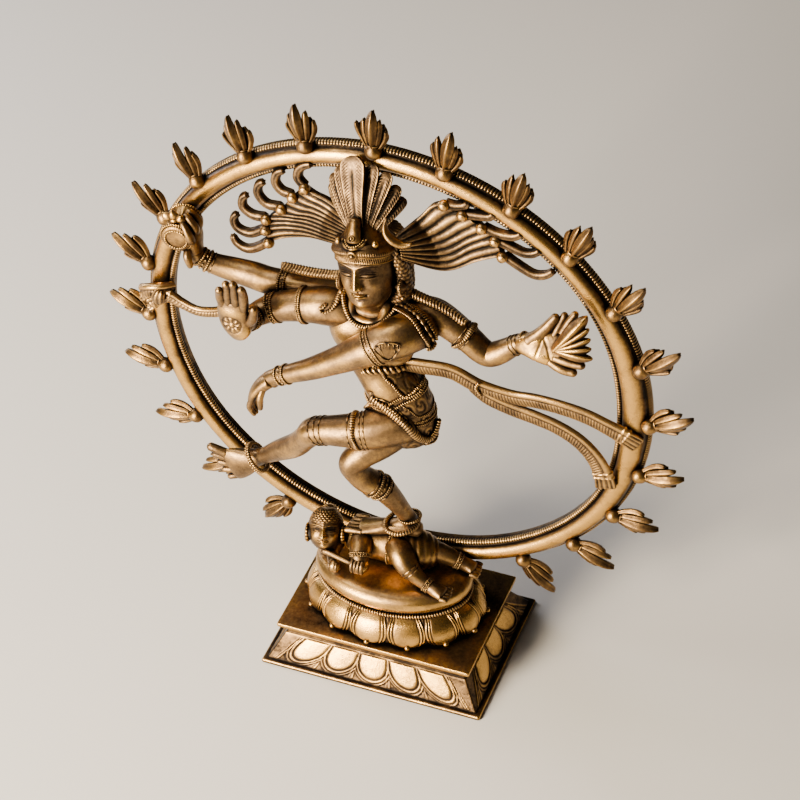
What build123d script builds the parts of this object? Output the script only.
"""Brass nataraja: a dancing figure in a ring of flames, on a lotus pedestal. Millimetres, +Z up.

The origin is the middle of the pedestal's resting face. +X is the viewer's right and -Y the front.
Every piece is a solid of its own, shaped so that it seats face to face on the piece that carries it,
as the separately formed pieces of such a bronze do before they are brazed.
Modelled forms are faceted: a few flat-sided cross-sections are carried along a line and joined.
"""

import math
import os

from build123d import *

os.makedirs("parts", exist_ok=True)

# ---------------------------------------------------------------- pedestal sizes
base_width = 100.0
base_depth = 71.0
rim_height = 2.0
rim_ledge = 2.2
band_height = 11.5
band_inset = 6.6
neck_inset = 0.6
neck_height = 5.1
slab_overhang = 3.1
slab_thickness = 1.9
slab_edge = 0.4
casting_wall = 3.0

lotus_height = 14.0
lotus_petal_count = 14
lotus_petal_phase = -93.3
petal_bulge = 0.035
petal_tip_lift = 1.6
oval_width = 67.0
oval_depth = 43.4
cord_height = 2.0
cord_swell = 1.0
cushion_height = 9.5
cushion_swell = 1.4
oval_sides = 32

# ---------------------------------------------------------------- ring and flames
ring_radius = 101.0
ring_band = 11.0
ring_thickness = 5.0
ring_bar_width = 5.6
ring_bar_height = 2.4
ring_front = 10.4
ring_side_offset = 1.8
ring_foot_depth = 4.5
ring_foot_flat = 0.6
flame_count = 21
flame_step = 15.0
flame_length = 18.5
flame_lean = 26.0
flame_spread = 14.0
flame_thickness = 2.8
bud_radius = 2.9

# ---------------------------------------------------------------- figure
finger_radius = 1.25
ornament_cord = 1.5
sash_width = 5.0
sash_thickness = 2.2

# ---------------------------------------------------------------- heights that follow from the sizes
slab_bottom = rim_height + band_height + neck_height
slab_top = slab_bottom + slab_thickness
cord_bottom = slab_top + lotus_height
cushion_bottom = cord_bottom + cord_height
cushion_top = cushion_bottom + cushion_height
ring_middle = ring_front + ring_thickness / 2
ring_height = cushion_top + ring_radius + ring_band / 2 - ring_foot_depth - ring_foot_flat


# ---------------------------------------------------------------- modelling helpers
def smooth(rows, steps):
    """Rows of numbers on a Catmull-Rom curve: the given rows, with steps - 1 new ones in each gap."""
    out = []
    for i in range(len(rows) - 1):
        before, here, after = rows[max(i - 1, 0)], rows[i], rows[i + 1]
        beyond = rows[min(i + 2, len(rows) - 1)]
        for s in range(steps):
            t = s / steps
            out.append(
                tuple(
                    0.5 * (2 * b + (c - a) * t + (2 * a - 5 * b + 4 * c - d) * t**2
                           + (3 * b - a - 3 * c + d) * t**3)
                    for a, b, c, d in zip(before, here, after, beyond)
                )
            )
    out.append(tuple(rows[-1]))
    return out


def polygon(points):
    """A flat face with these corners."""
    return Face(Wire.make_polygon(points))


def skin(rings):
    """A closed solid over cross-sections with the same number of corners, capped flat at both ends."""
    faces = [polygon(rings[0][::-1]), polygon(rings[-1])]
    for low, high in zip(rings, rings[1:]):
        for k in range(len(low)):
            j = (k + 1) % len(low)
            faces.append(polygon([low[k], low[j], high[j]]))
            faces.append(polygon([low[k], high[j], high[k]]))
    return Solid(Shell(faces))


def section(centre, along, across, half_width, half_depth, sides):
    """Corners of a flat-sided oval, square to the direction along, with its width laid across."""
    depth = along.cross(across).normalized()
    width = depth.cross(along).normalized()
    turns = [2 * math.pi * (k + 0.5) / sides for k in range(sides)]
    return [centre + width * (half_width * math.cos(t)) + depth * (half_depth * math.sin(t)) for t in turns]


def limb(rows, sides=8, across=(1, 0, 0), steps=1):
    """A modelled form: ovals carried along a line. A row is x, y, z, half width and half depth."""
    rows = smooth(rows, steps)
    rings = []
    for i, row in enumerate(rows):
        before = Vector(*rows[max(i - 1, 0)][:3])
        after = Vector(*rows[min(i + 1, len(rows) - 1)][:3])
        along = (after - before).normalized()
        rings.append(section(Vector(*row[:3]), along, Vector(*across), row[3], row[4], sides))
    return skin(rings)


def oval_loop(centre, half_width, half_depth, tilt, radius, around=20, sides=6):
    """A closed ring-shaped cord on an oval. Its height rises by tilt for each mm towards the back."""
    rings = []
    for k in range(around):
        t = 2 * math.pi * k / around
        out = Vector(math.cos(t), math.sin(t), 0)
        middle = Vector(*centre) + Vector(half_width * math.cos(t), half_depth * math.sin(t), 0)
        middle += Vector(0, 0, tilt * half_depth * math.sin(t))
        rings.append(
            [
                middle + out * (radius * math.cos(a)) + Vector(0, 0, radius * math.sin(a))
                for a in [2 * math.pi * (s + 0.5) / sides for s in range(sides)]
            ]
        )
    faces = []
    for k in range(around):
        low, high = rings[k], rings[(k + 1) % around]
        for s in range(sides):
            n = (s + 1) % sides
            faces.append(polygon([low[s], high[s], high[n]]))
            faces.append(polygon([low[s], high[n], low[n]]))
    return Solid(Shell(faces))


def finger(root, tip, radius, sides=5):
    """A tapering finger from root to tip."""
    middle = [(a + b) / 2 for a, b in zip(root, tip)]
    across = (0.3, 1, 0.2)
    rows = [(*root, radius, radius), (*middle, radius, radius * 0.9), (*tip, radius * 0.55, radius * 0.5)]
    return limb(rows, sides, across)


def largest(shape):
    """The main solid of a shape, without the crumbs that a cut leaves."""
    return shape.solids().sort_by(SortBy.VOLUME)[-1]


def seat(piece, *carriers):
    """The piece cut back to the faces of what carries it."""
    for carrier in carriers:
        piece = largest(piece - carrier)
    return piece


def write(name, piece):
    """Label a finished piece and write it as its own STEP file."""
    piece.label = name
    export_step(piece, f"parts/{name}.step")


# ---------------------------------------------------------------- pedestal
band_taper = math.degrees(math.atan(band_inset / band_height))
band_width = base_width - 2 * rim_ledge
band_depth = base_depth - 2 * rim_ledge
neck_width = band_width - 2 * (band_inset + neck_inset)
neck_depth = band_depth - 2 * (band_inset + neck_inset)

with BuildPart() as plinth:
    with BuildSketch():
        Rectangle(base_width, base_depth)
    extrude(amount=rim_height)
    with BuildSketch(Plane.XY.offset(rim_height)):
        Rectangle(band_width, band_depth)
    extrude(amount=band_height, taper=band_taper)
    with BuildSketch(Plane.XY.offset(rim_height + band_height)):
        Rectangle(neck_width, neck_depth)
    extrude(amount=neck_height)
    with BuildSketch():
        Rectangle(band_width - 2 * casting_wall, band_depth - 2 * casting_wall)
    extrude(amount=slab_bottom - casting_wall, taper=band_taper, mode=Mode.SUBTRACT)
write("plinth", plinth.part)

with BuildPart() as plinth_slab:
    with BuildSketch(Plane.XY.offset(slab_bottom)):
        Rectangle(neck_width + 2 * slab_overhang, neck_depth + 2 * slab_overhang)
    extrude(amount=slab_thickness)
    chamfer(plinth_slab.edges().group_by(Axis.Z)[-1], slab_edge)
write("plinth_slab", plinth_slab.part)


def oval(half_width, half_depth, height, sides=oval_sides):
    """Corners of a level oval at a height."""
    turns = [2 * math.pi * k / sides for k in range(sides)]
    return [Vector(half_width * math.cos(t), half_depth * math.sin(t), height) for t in turns]


def petal_oval(grow, height, bulge, lift):
    """A level oval that swells at each lotus petal and rises towards each petal's middle."""
    points = []
    sides = lotus_petal_count * 4
    for k in range(sides):
        t = math.radians(lotus_petal_phase) + 2 * math.pi * k / sides
        petal = abs(math.cos(2 * math.pi * k / 8))
        reach = 1 + bulge * petal
        x = (oval_width / 2 + grow) * reach * math.cos(t)
        y = (oval_depth / 2 + grow) * reach * math.sin(t)
        points.append(Vector(x, y, height + lift * petal**6))
    return points


lotus_levels = [
    (5.0, 0.0, 0.0, 0.0),
    (5.4, 0.16, petal_bulge * 4, petal_tip_lift / 4),
    (5.5, 0.50, petal_bulge * 3, 0.0),
    (3.4, 0.78, petal_bulge * 2, 0.0),
    (0.2, 1.0, 0.0, 0.0),
]
with BuildPart() as lotus_petals:
    add(skin([petal_oval(grow, slab_top + share * lotus_height, bulge, lift)
              for grow, share, bulge, lift in lotus_levels]))
write("lotus_petals", lotus_petals.part)

with BuildPart() as cord_moulding:
    add(skin([oval(oval_width / 2 + grow, oval_depth / 2 + grow, cord_bottom + share * cord_height)
              for grow, share in [(0.0, 0.0), (cord_swell, 0.3), (cord_swell, 0.7), (0.0, 1.0)]]))
write("cord_moulding", cord_moulding.part)

# ---------------------------------------------------------------- ring with its bar, let into the cushion
ring_inner = ring_radius - ring_band / 2
ring_outer = ring_radius + ring_band / 2
ring_axis = Axis((ring_side_offset, ring_middle, ring_height), (0, 1, 0))
with BuildPart() as flame_ring:
    with BuildSketch(Plane(origin=(ring_side_offset, ring_middle, ring_height), z_dir=(0, 0, 1))):
        with BuildLine():
            Polyline(
                (ring_inner, ring_thickness / 2),
                (ring_inner, -ring_thickness / 2),
                (ring_radius - ring_bar_width / 2, -ring_thickness / 2),
                (ring_radius - ring_bar_width / 4, -ring_thickness / 2 - ring_bar_height),
                (ring_radius + ring_bar_width / 4, -ring_thickness / 2 - ring_bar_height),
                (ring_radius + ring_bar_width / 2, -ring_thickness / 2),
                (ring_outer, -ring_thickness / 2),
                (ring_outer, ring_thickness / 2),
                close=True,
            )
        make_face()
    revolve(axis=ring_axis)
    split(bisect_by=Plane.XY.offset(cushion_top - ring_foot_depth), keep=Keep.TOP)
write("flame_ring", flame_ring.part)

cushion_levels = [(-1.6, 0.0), (0.4, 0.25), (cushion_swell, 0.5), (0.2, 0.8), (-3.6, 1.0)]
with BuildPart() as lotus_cushion:
    add(skin([oval(oval_width / 2 + grow, oval_depth / 2 + grow, cushion_bottom + share * cushion_height)
              for grow, share in cushion_levels]))
    add(flame_ring.part, mode=Mode.SUBTRACT)
write("lotus_cushion", lotus_cushion.part)


# ---------------------------------------------------------------- flames, one pattern leant over
def flame(angle):
    """One flame: a bud on the rim and a bevelled plate of five tongues, leaning to the ring's top."""
    turn = math.radians(angle)
    lean = math.radians(flame_lean) * math.cos(turn)
    out = Vector(math.cos(turn), 0, math.sin(turn))
    side = Vector(-math.sin(turn), 0, math.cos(turn))
    up = out * math.cos(lean) + side * math.sin(lean)
    wide = side * math.cos(lean) - out * math.sin(lean)
    root = Vector(ring_side_offset, ring_front + 0.6, ring_height) + out * ring_outer

    def outline(depth, fullness):
        points = [root + wide * (-2.4 * fullness), root + wide * (-3.4 * fullness) + up * 5.0]
        for tongue in (-2, -1, 0, 1, 2):
            reach = flame_length * (1 - 0.1 * abs(tongue))
            for step in (-0.2 * fullness, 0.2 * fullness):
                aim = math.radians(flame_spread * (tongue + step))
                blunt = reach * (0.9 + 0.08 * fullness)
                points.append(root + (up * math.cos(aim) + wide * math.sin(aim)) * blunt)
            if tongue < 2:
                aim = math.radians(flame_spread * (tongue + 0.5))
                valley = flame_length * (0.46 + 0.14 * fullness)
                points.append(root + (up * math.cos(aim) + wide * math.sin(aim)) * valley)
        points.append(root + wide * (3.4 * fullness) + up * 5.0)
        points.append(root + wide * (2.4 * fullness))
        return [tuple(point + Vector(0, depth, 0)) for point in points]

    plate = skin([outline(0.0, 1.0), outline(-flame_thickness, 0.6)])
    rows = []
    for reach, swell in [(-bud_radius, 0.4), (0.0, 1.0), (0.9 * bud_radius, 0.6)]:
        place = root + up * reach + Vector(0, -1.6, 0)
        rows.append((place.X, place.Y, place.Z, swell * bud_radius, swell * bud_radius))
    return plate + limb(rows, 5, tuple(wide))


flame_solids = {}
for number in range(flame_count):
    angle = -60.0 + flame_step * number
    with BuildPart() as flame_piece:
        add(flame(angle))
        add(flame_ring.part, mode=Mode.SUBTRACT)
    flame_solids[number] = largest(flame_piece.part)
    write(f"flame_{number + 1:02d}", flame_solids[number])

# ---------------------------------------------------------------- trunk
torso_rows = [
    (7.0, 0.0, 147.2, 12.2, 9.1),
    (3.4, 0.0, 153.2, 10.9, 8.5),
    (1.0, -0.2, 157.5, 10.8, 8.3),
    (0.1, -0.6, 163.0, 13.6, 8.9),
    (0.6, -1.0, 172.0, 17.8, 9.7),
    (1.0, -0.6, 180.0, 18.0, 9.0),
    (1.0, 0.0, 185.5, 15.6, 7.8),
    (1.0, -0.5, 189.5, 8.4, 6.4),
    (1.0, -1.5, 193.0, 5.6, 5.4),
    (1.3, -2.5, 198.5, 5.2, 5.2),
]
with BuildPart() as torso:
    add(limb(torso_rows, 12))
write("torso", torso.part)

hip_rows = [
    (9.5, 0.5, 120.0, 7.0, 6.0),
    (9.5, 0.5, 124.5, 12.7, 9.6),
    (9.4, 0.5, 131.0, 13.8, 10.6),
    (9.1, 0.3, 137.5, 13.4, 10.2),
    (8.4, 0.2, 143.0, 12.8, 9.6),
    (7.0, 0.0, 147.2, 12.2, 9.1),
]
with BuildPart() as hips:
    add(limb(hip_rows, 12))
hips_solid = seat(hips.part, torso.part)
write("hips", hips_solid)

# ---------------------------------------------------------------- head and crown
head_rows = [
    (1.6, -5.6, 196.2, 4.0, 4.6),
    (1.8, -5.4, 199.0, 7.0, 7.6),
    (2.0, -4.6, 204.0, 9.8, 10.2),
    (2.2, -4.2, 210.0, 11.3, 11.4),
    (2.3, -4.0, 217.0, 12.0, 12.0),
    (2.3, -4.0, 222.5, 12.0, 12.0),
]
nose_rows = [
    (1.6, -16.0, 202.6, 1.9, 2.4),
    (1.7, -16.0, 205.0, 1.5, 1.9),
    (1.9, -15.6, 214.0, 0.8, 1.0),
]
with BuildPart() as head:
    add(limb(head_rows, 14))
    add(limb(nose_rows, 5))
    add(torso.part, mode=Mode.SUBTRACT)
write("head", largest(head.part))

crown_rows = [
    (2.3, -4.0, 222.5, 12.6, 12.6),
    (2.3, -4.0, 225.6, 12.6, 12.6),
    (2.3, -4.0, 225.9, 13.9, 13.9),
    (2.3, -4.0, 229.0, 13.9, 13.9),
    (2.3, -3.8, 230.0, 11.6, 11.6),
    (2.2, -3.2, 232.6, 9.4, 9.0),
    (2.0, -2.4, 234.2, 5.0, 4.8),
]
with BuildPart() as headband:
    add(limb(crown_rows, 14))
write("headband", headband.part)

crest_ornament_rows = [
    (0.6, -15.0, 229.4, 3.6, 1.6),
    (0.6, -13.4, 231.4, 3.8, 2.2),
    (0.5, -11.2, 234.2, 2.8, 2.4),
    (0.4, -9.6, 237.6, 1.9, 1.8),
    (0.3, -8.8, 240.0, 0.8, 0.8),
]
with BuildPart() as crest_ornament:
    add(limb(crest_ornament_rows, 6))
write("crest_ornament", seat(crest_ornament.part, headband.part))

crest_base = (0.0, 226.0)
crest_reach = 26.0
crest_thickness = 2.6
crest_plane_y = 7.4
with BuildPart() as feather_crest:
    with BuildSketch(Plane(origin=(0, crest_plane_y, 0), x_dir=(1, 0, 0), z_dir=(0, -1, 0))):
        for k in range(-4, 5):
            turn = math.radians(100 - 12.5 * k)
            reach = crest_reach * (1 - 0.035 * abs(k) - 0.012 * k)
            out = (math.cos(turn), math.sin(turn))
            side = (-out[1], out[0])
            outline = [(0.0, 1.2), (0.55, 2.0), (0.86, 2.9), (0.97, 2.0), (1.0, 0.8)]
            left = [(crest_base[0] + out[0] * reach * r + side[0] * w,
                     crest_base[1] + out[1] * reach * r + side[1] * w) for r, w in outline]
            right = [(crest_base[0] + out[0] * reach * r - side[0] * w,
                      crest_base[1] + out[1] * reach * r - side[1] * w) for r, w in outline]
            with BuildLine():
                Polyline(*left, *right[::-1], close=True)
            make_face()
    extrude(amount=crest_thickness)
crest_solid = seat(feather_crest.part, headband.part, flame_ring.part)

with BuildPart() as crescent_moon:
    moon_rows = []
    for k in range(7):
        turn = math.radians(150 + 28 * k)
        fat = 0.5 + 1.7 * math.sin(math.pi * k / 6)
        moon_rows.append((16.8 + 6.2 * math.cos(turn), -4.0, 231.5 + 6.2 * math.sin(turn), fat, fat * 0.8))
    add(limb(moon_rows, 6, (0, 1, 0)))
moon_solid = seat(crescent_moon.part, headband.part)
write("crescent_moon", moon_solid)
crest_solid = seat(crest_solid, moon_solid)
write("feather_crest", crest_solid)

# ---------------------------------------------------------------- hair
hair_back_rows = [
    (3.0, 6.2, 186.5, 5.0, 2.5),
    (4.0, 7.0, 190.0, 8.5, 3.6),
    (4.5, 6.6, 198.0, 10.0, 5.0),
    (4.0, 5.6, 207.0, 11.5, 6.0),
    (3.0, 5.0, 216.0, 12.0, 6.2),
    (2.5, 4.6, 222.5, 11.0, 5.6),
]
with BuildPart() as hair_back:
    add(limb(hair_back_rows, 10))
hair_back_solid = seat(hair_back.part, head.part, torso.part, headband.part)
write("hair_back", hair_back_solid)

fan_plane_y = 9.2
fan_thickness = 3.0
fan_centre = (2.0, 208.0)


def polar(angle, radius):
    """A point in the hair's plane, from the middle of the head."""
    turn = math.radians(angle)
    return fan_centre[0] + radius * math.cos(turn), fan_centre[1] + radius * math.sin(turn)


def hair_fan(root_angles, locks):
    """A fan of matted locks: a plate out to the locks' knots, then a hook beyond each knot.

    A lock is the angle and radius of its knot, of its hook's lowest point and of its tip."""
    start, end = root_angles
    outline = [polar(start, 9.0)]
    for knot, bottom, tip in locks:
        outline.append(polar(*knot))
    outline.append(polar(end, 9.0))
    with BuildPart() as fan:
        fan_back = (0, fan_plane_y + fan_thickness / 2, 0)
        with BuildSketch(Plane(origin=fan_back, x_dir=(1, 0, 0), z_dir=(0, -1, 0))):
            with BuildLine():
                Polyline(*outline, close=True)
            make_face()
        extrude(amount=fan_thickness)
        for knot, bottom, tip in locks:
            inner = polar(knot[0], knot[1] - 6)
            rows = [(inner[0], fan_plane_y, inner[1], 1.5, 1.5)]
            for (x, z), fat in ((polar(*knot), 1.9), (polar(*bottom), 1.8), (polar(*tip), 0.7)):
                rows.append((x, fan_plane_y, z, fat, fat))
            add(limb(rows, 4, (0, 1, 0)))
    return fan.part


right_locks = [
    ((188.9 - 8.4 * i, 46.8 - 2.2 * i),
     (194.6 - 10.6 * i, 58.0 - 3.0 * i),
     (187.0 - 12.0 * i, 63.0 - 4.0 * i))
    for i in range(6)
]
left_locks = [
    ((11.5 + 8.6 * i, 52.0 - 3.0 * i), (5.0 + 8.8 * i, 59.5 - 3.6 * i), (6.5 + 8.4 * i, 69.0 - 5.2 * i))
    for i in range(5)
]
for name, fan in (
    ("hair_fan_right", hair_fan((176.0, 128.0), right_locks)),
    ("hair_fan_left", hair_fan((352.0, 56.0), left_locks)),
):
    fan = seat(fan, hair_back_solid, head.part, headband.part, flame_ring.part, crest_solid)
    write(name, fan)

# ---------------------------------------------------------------- arms and hands
front_right_arm_rows = [
    (-9.0, -2.5, 183.5, 7.0, 7.0),
    (-18.0, -3.0, 184.5, 7.4, 7.4),
    (-30.0, -4.0, 182.5, 6.4, 6.4),
    (-41.0, -5.0, 178.5, 5.4, 5.4),
    (-45.5, -9.0, 177.4, 4.8, 4.8),
    (-45.2, -14.0, 179.0, 4.0, 4.2),
    (-45.0, -18.5, 181.0, 3.6, 3.8),
]
with BuildPart() as front_right_arm:
    add(limb(front_right_arm_rows, 8, (0, 0, 1)))
front_right_solid = seat(front_right_arm.part, torso.part)
write("front_right_arm", front_right_solid)

blessing_rows = [
    (-44.4, -19.8, 173.6, 1.8, 1.6),
    (-44.6, -20.2, 176.6, 4.2, 3.0),
    (-45.6, -20.9, 183.5, 5.6, 2.8),
    (-46.2, -21.4, 189.0, 5.6, 2.2),
    (-46.6, -21.6, 192.0, 5.0, 1.7),
]
with BuildPart() as blessing_hand:
    add(limb(blessing_rows, 8))
    for k, reach in enumerate((10.0, 12.0, 12.0, 10.5)):
        x = -50.6 + 2.6 * k
        add(finger((x, -21.4, 190.0), (x - 2.4 + 0.9 * k, -22.6, 191.5 + reach), finger_radius))
    add(finger((-42.0, -21.0, 185.0), (-36.5, -22.5, 192.0), finger_radius * 1.15))
write("blessing_hand", seat(blessing_hand.part, front_right_solid))

back_right_arm_rows = [
    (-8.0, 2.5, 185.0, 5.4, 5.4),
    (-18.0, 4.0, 185.0, 5.6, 5.6),
    (-32.0, 4.5, 184.4, 5.6, 5.4),
    (-46.0, 4.0, 184.6, 5.4, 5.2),
    (-57.0, 3.5, 186.4, 5.0, 4.8),
    (-66.0, 2.0, 188.6, 4.4, 4.4),
    (-72.0, 0.5, 192.0, 4.0, 4.0),
    (-75.0, -0.5, 197.0, 3.8, 4.2),
]
with BuildPart() as back_right_arm:
    add(limb(back_right_arm_rows, 8, (0, 0, 1)))
back_right_solid = seat(back_right_arm.part, torso.part, front_right_solid, hair_back_solid)

drum_centre = Vector(-78.0, 0.0, 205.0)
drum_axis = Vector(0.35, 0.75, 0.55).normalized()
drum_rows = []
for reach, radius in [(-7.0, 6.4), (-6.0, 7.0), (-2.0, 4.4), (2.0, 4.4), (6.0, 7.0), (7.0, 6.4)]:
    place = drum_centre + drum_axis * reach
    drum_rows.append((place.X, place.Y, place.Z, radius, radius))
with BuildPart() as drum:
    add(limb(drum_rows, 12))
drum_solid = seat(drum.part, flame_ring.part)
write("drum", drum_solid)
write("back_right_arm", seat(back_right_solid, drum_solid))

front_left_arm_rows = [
    (22.0, -4.0, 185.0, 6.8, 6.8),
    (17.0, -11.0, 185.5, 7.4, 7.4),
    (8.0, -16.5, 182.5, 7.0, 7.0),
    (-5.0, -18.5, 174.0, 5.6, 5.6),
    (-18.0, -19.5, 166.2, 4.4, 4.4),
    (-30.0, -20.0, 160.0, 3.4, 3.6),
    (-38.0, -20.0, 153.5, 3.2, 4.4),
    (-43.5, -20.0, 146.5, 2.2, 4.0),
]
with BuildPart() as front_left_arm:
    add(limb(front_left_arm_rows, 8, (0, 1, 0)))
    for k in range(4):
        y = -16.8 - 2.1 * k
        add(finger((-43.0, y, 148.5), (-43.8 + 1.2 * k, y, 139.5 - 0.8 * k), finger_radius))
front_left_solid = seat(front_left_arm.part, torso.part)
write("front_left_arm", front_left_solid)

back_left_arm_rows = [
    (14.0, 1.5, 185.0, 6.0, 6.0),
    (23.0, 2.0, 187.5, 6.4, 6.4),
    (31.0, 1.5, 185.5, 6.0, 6.0),
    (39.0, 1.0, 180.0, 5.4, 5.4),
    (46.5, 0.8, 174.5, 4.8, 4.8),
    (53.0, 0.9, 178.0, 4.4, 4.4),
    (60.0, 1.0, 183.5, 3.4, 3.6),
]
with BuildPart() as back_left_arm:
    add(limb(back_left_arm_rows, 8, (0, 1, 0)))
back_left_solid = seat(back_left_arm.part, torso.part, front_left_solid)
write("back_left_arm", back_left_solid)

fire_hand_rows = [
    (59.5, 1.0, 183.0, 2.6, 3.4),
    (65.0, 0.5, 185.6, 2.6, 5.8),
    (71.5, 0.0, 187.8, 2.4, 8.0),
    (76.5, 0.0, 189.2, 1.8, 6.0),
]
with BuildPart() as fire_hand:
    add(limb(fire_hand_rows, 8, (0, 1, 0)))
    add(finger((66.0, -0.5, 190.0), (71.5, -1.0, 202.0), finger_radius * 1.2))
fire_hand_solid = seat(fire_hand.part, back_left_solid)
write("fire_hand", fire_hand_solid)

with BuildPart() as palm_flame:
    for k in range(8):
        turn = math.radians(72 - 20 * k)
        tip = (74.0 + 15.5 * math.cos(turn), -1.6, 190.0 + 15.5 * math.sin(turn))
        root = (72.0 + 5 * math.cos(turn), 0.0, 188.6 + 5 * math.sin(turn))
        add(finger(root, tip, finger_radius * 1.15, 4))
write("palm_flame", seat(palm_flame.part, fire_hand_solid))

# ---------------------------------------------------------------- legs
raised_leg_rows = [
    (13.0, -4.0, 134.0, 8.2, 8.2),
    (5.0, -8.5, 131.5, 8.0, 8.0),
    (-6.0, -12.0, 130.0, 7.0, 7.0),
    (-19.0, -13.5, 127.5, 5.6, 5.6),
    (-26.5, -12.5, 122.0, 5.0, 5.2),
    (-34.0, -10.0, 112.0, 4.6, 4.8),
    (-43.5, -8.0, 104.0, 4.2, 4.4),
    (-53.5, -7.0, 96.0, 4.6, 3.8),
    (-60.5, -7.5, 91.6, 7.0, 3.4),
    (-66.0, -8.4, 89.2, 7.8, 2.4),
]
foot_down = Vector(0.42, 0.0, -0.9)
with BuildPart() as raised_leg:
    add(limb(raised_leg_rows, 10, tuple(foot_down)))
    for k in range(5):
        place = Vector(-65.0, -8.4, 89.6) + foot_down * (3.4 * (k - 2))
        toe = place + Vector(-7.6 + 0.7 * k, -0.8, 1.6 - 1.1 * k)
        add(finger(tuple(place), tuple(toe), finger_radius * (1.3 - 0.07 * k)))
raised_leg_solid = seat(raised_leg.part, hips_solid)
write("raised_leg", raised_leg_solid)

dwarf_body_rows = [
    (-19.0, -0.5, 56.5, 4.6, 4.6),
    (-15.0, -0.5, 56.0, 7.4, 7.0),
    (-6.0, 0.0, 55.5, 8.6, 8.2),
    (5.0, 0.5, 55.0, 9.0, 8.8),
    (13.0, 1.5, 54.0, 8.4, 8.0),
    (19.0, 3.0, 52.5, 5.0, 5.4),
]
with BuildPart() as dwarf_body:
    add(limb(dwarf_body_rows, 10, (0, 1, 0)))
dwarf_body_solid = seat(dwarf_body.part, lotus_cushion.part, flame_ring.part)
write("dwarf_body", dwarf_body_solid)

standing_leg_rows = [
    (9.0, -1.0, 128.0, 7.6, 7.4),
    (4.0, -5.5, 122.5, 7.0, 6.6),
    (-5.0, -12.0, 117.5, 5.8, 5.6),
    (-9.0, -14.0, 112.0, 5.0, 5.0),
    (-5.0, -11.0, 104.0, 4.6, 4.6),
    (1.0, -7.0, 96.0, 4.8, 4.8),
    (5.5, -3.0, 84.0, 3.8, 3.8),
    (8.5, 0.0, 74.0, 3.4, 3.4),
    (9.5, 1.0, 66.0, 4.0, 4.2),
]
foot_rows = [
    (12.5, 1.2, 66.6, 3.2, 3.0),
    (6.0, 0.4, 67.6, 3.9, 4.2),
    (-3.0, -1.0, 66.2, 4.3, 3.4),
    (-12.0, -2.2, 65.0, 4.6, 2.4),
]
with BuildPart() as standing_leg:
    add(limb(standing_leg_rows, 10))
    add(limb(foot_rows, 8, (0, 1, 0)))
    for k in range(5):
        y = -6.2 + 2.1 * k
        add(finger((-10.5, y, 64.8), (-18.5 + 0.6 * abs(k - 1), y - 0.4, 64.2), finger_radius))
standing_leg_solid = seat(standing_leg.part, hips_solid, raised_leg_solid, dwarf_body_solid)
write("standing_leg", standing_leg_solid)

with BuildPart() as hip_belt:
    add(oval_loop((7.4, 0.0, 146.2), 12.6, 9.5, 0.05, ornament_cord * 1.2, 14, 5))
write("hip_belt", seat(hip_belt.part, hips_solid, torso.part, raised_leg_solid))

# ---------------------------------------------------------------- dwarf under the foot
dwarf_head_rows = [
    (-22.5, -5.0, 51.0, 3.6, 3.6),
    (-24.0, -5.8, 54.5, 7.0, 6.8),
    (-25.4, -6.0, 60.0, 8.4, 8.0),
    (-26.0, -5.6, 66.0, 7.8, 7.6),
    (-26.0, -4.6, 71.0, 4.0, 4.0),
]
with BuildPart() as dwarf_head:
    add(limb(dwarf_head_rows, 10))
dwarf_head_solid = seat(dwarf_head.part, dwarf_body_solid, standing_leg_solid, flame_ring.part,
                        lotus_cushion.part)
write("dwarf_head", dwarf_head_solid)

near_arm_rows = [
    (-12.0, -4.0, 57.5, 4.2, 4.2),
    (-11.0, -9.5, 55.5, 3.8, 3.8),
    (-10.5, -12.0, 50.5, 3.2, 3.2),
    (-13.5, -13.0, 48.5, 3.4, 2.8),
]
far_fist_rows = [
    (-25.5, -12.5, 49.5, 1.4, 1.6),
    (-20.0, -14.5, 49.0, 2.8, 2.8),
    (-14.5, -13.0, 48.8, 2.2, 2.2),
]
with BuildPart() as dwarf_arms:
    add(limb(near_arm_rows, 7))
    add(limb(far_fist_rows, 7, (0, 1, 0)))
dwarf_arms_solid = seat(dwarf_arms.part, dwarf_body_solid, dwarf_head_solid, lotus_cushion.part)
write("dwarf_arms", dwarf_arms_solid)

near_leg_rows = [
    (3.0, -3.0, 60.0, 5.2, 4.6),
    (7.5, -7.0, 58.5, 5.0, 4.8),
    (12.0, -9.0, 54.5, 4.0, 4.0),
    (18.0, -11.0, 50.5, 2.8, 3.0),
    (22.0, -12.0, 48.2, 3.0, 2.4),
    (28.0, -13.0, 46.6, 3.4, 1.6),
]
far_leg_rows = [
    (14.0, 2.5, 53.0, 4.6, 4.8),
    (21.0, 3.0, 53.0, 4.0, 4.2),
    (27.0, 3.8, 50.6, 3.2, 3.4),
    (31.5, 4.2, 48.8, 3.2, 2.6),
    (37.0, 3.6, 46.8, 3.4, 1.6),
]
with BuildPart() as dwarf_legs:
    add(limb(near_leg_rows, 7, (0, 1, 0)))
near_leg_solid = seat(dwarf_legs.part, dwarf_body_solid, lotus_cushion.part, standing_leg_solid)
with BuildPart() as dwarf_far_leg:
    add(limb(far_leg_rows, 7, (0, 1, 0)))
far_leg_solid = seat(dwarf_far_leg.part, dwarf_body_solid, lotus_cushion.part, standing_leg_solid,
                     flame_ring.part, near_leg_solid)
write("dwarf_near_leg", near_leg_solid)
write("dwarf_far_leg", far_leg_solid)

# ---------------------------------------------------------------- collar, ear ornaments, locks and sashes
with BuildPart() as necklace:
    add(oval_loop((1.2, -1.6, 188.0), 11.5, 9.0, 0.5, ornament_cord * 1.1, 14, 5))
necklace_solid = seat(necklace.part, torso.part, head.part, hair_back_solid, front_left_solid,
                      back_left_solid, front_right_solid, back_right_solid)
write("necklace", necklace_solid)

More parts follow.
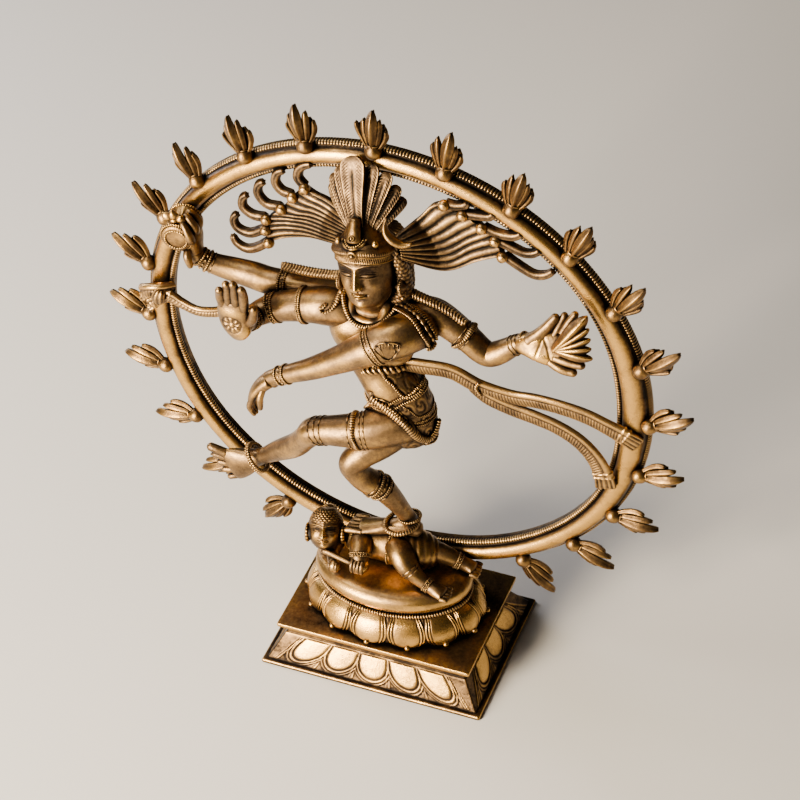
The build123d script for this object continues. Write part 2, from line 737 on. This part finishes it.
lock_rows = {
    "shoulder_lock_right": [
        (-2.0, 2.0, 199.4, 1.8, 1.8),
        (-14.0, 2.0, 195.6, 2.0, 2.0),
        (-26.0, 2.0, 195.0, 2.0, 1.9),
        (-37.0, 2.0, 195.4, 1.4, 1.4),
    ],
    "shoulder_lock_left": [
        (10.0, 2.0, 199.0, 1.8, 1.8),
        (19.0, 1.5, 195.4, 2.0, 2.0),
        (30.0, 1.0, 192.6, 2.0, 1.9),
        (39.0, 0.6, 186.8, 1.3, 1.3),
    ],
}
for name, rows in lock_rows.items():
    with BuildPart() as lock:
        add(limb(rows, 6, (0, 1, 0)))
    write(name, seat(lock.part, hair_back_solid, torso.part, back_right_solid, back_left_solid,
                     front_right_solid, front_left_solid, head.part, necklace_solid))

with BuildPart() as ear_ornament_right:
    add(limb([(-6.0, -2.5, 205.4, 2.6, 3.2), (-12.0, -2.5, 204.8, 2.6, 3.2)], 8, (0, 0, 1)))
write("ear_ornament_right", seat(ear_ornament_right.part, head.part, hair_back_solid))
with BuildPart() as ear_ornament_left:
    add(limb([(13.0, -2.5, 205.0, 2.6, 3.2), (16.8, -2.5, 204.5, 2.6, 3.2)], 8, (0, 0, 1)))
write("ear_ornament_left", seat(ear_ornament_left.part, head.part, hair_back_solid))

sash_half = sash_width / 2
sash_flat = sash_thickness / 2
upper_sash_rows = [
    (8.0, -3.0, 161.0, sash_half * 0.6, sash_flat),
    (18.0, -0.5, 161.6, sash_half, sash_flat),
    (31.0, 1.5, 160.2, sash_half, sash_flat),
    (41.5, 2.8, 154.5, sash_half, sash_flat),
    (54.0, 4.0, 151.6, sash_half, sash_flat),
    (74.0, 5.0, 151.2, sash_half, sash_flat),
    (90.0, 6.0, 146.5, sash_half, sash_flat),
    (104.0, 6.2, 138.6, sash_half * 1.3, sash_flat),
]
lower_sash_rows = [
    (41.0, 2.8, 151.0, sash_half, sash_flat),
    (52.0, 4.0, 146.2, sash_half, sash_flat),
    (65.0, 5.0, 142.6, sash_half, sash_flat),
    (78.5, 5.6, 136.4, sash_half, sash_flat),
    (88.2, 6.0, 124.4, sash_half, sash_flat),
    (91.4, 6.2, 110.8, sash_half * 1.3, sash_flat),
]
with BuildPart() as waist_sash:
    add(limb(upper_sash_rows, 4, (0, 0, 1), 2))
    add(limb(lower_sash_rows, 4, (0.7, 0, 1), 2))
write("waist_sash", seat(waist_sash.part, torso.part, front_left_solid, flame_ring.part))

arm_scarf_rows = [
    (-45.0, -2.0, 175.0, sash_half * 0.8, sash_flat),
    (-57.0, 2.0, 168.5, sash_half * 0.8, sash_flat),
    (-70.0, 4.8, 163.2, sash_half * 0.8, sash_flat),
    (-81.0, 5.4, 158.4, sash_half * 0.8, sash_flat),
    (-90.0, 6.0, 162.0, sash_half * 0.9, sash_flat),
    (-97.0, 6.2, 163.0, sash_half * 1.6, sash_flat * 1.3),
    (-103.0, 6.4, 163.5, sash_half * 1.2, sash_flat),
]
with BuildPart() as arm_scarf:
    add(limb(arm_scarf_rows, 4, (0, 0, 1), 2))
write("arm_scarf", seat(arm_scarf.part, front_right_solid, flame_ring.part))
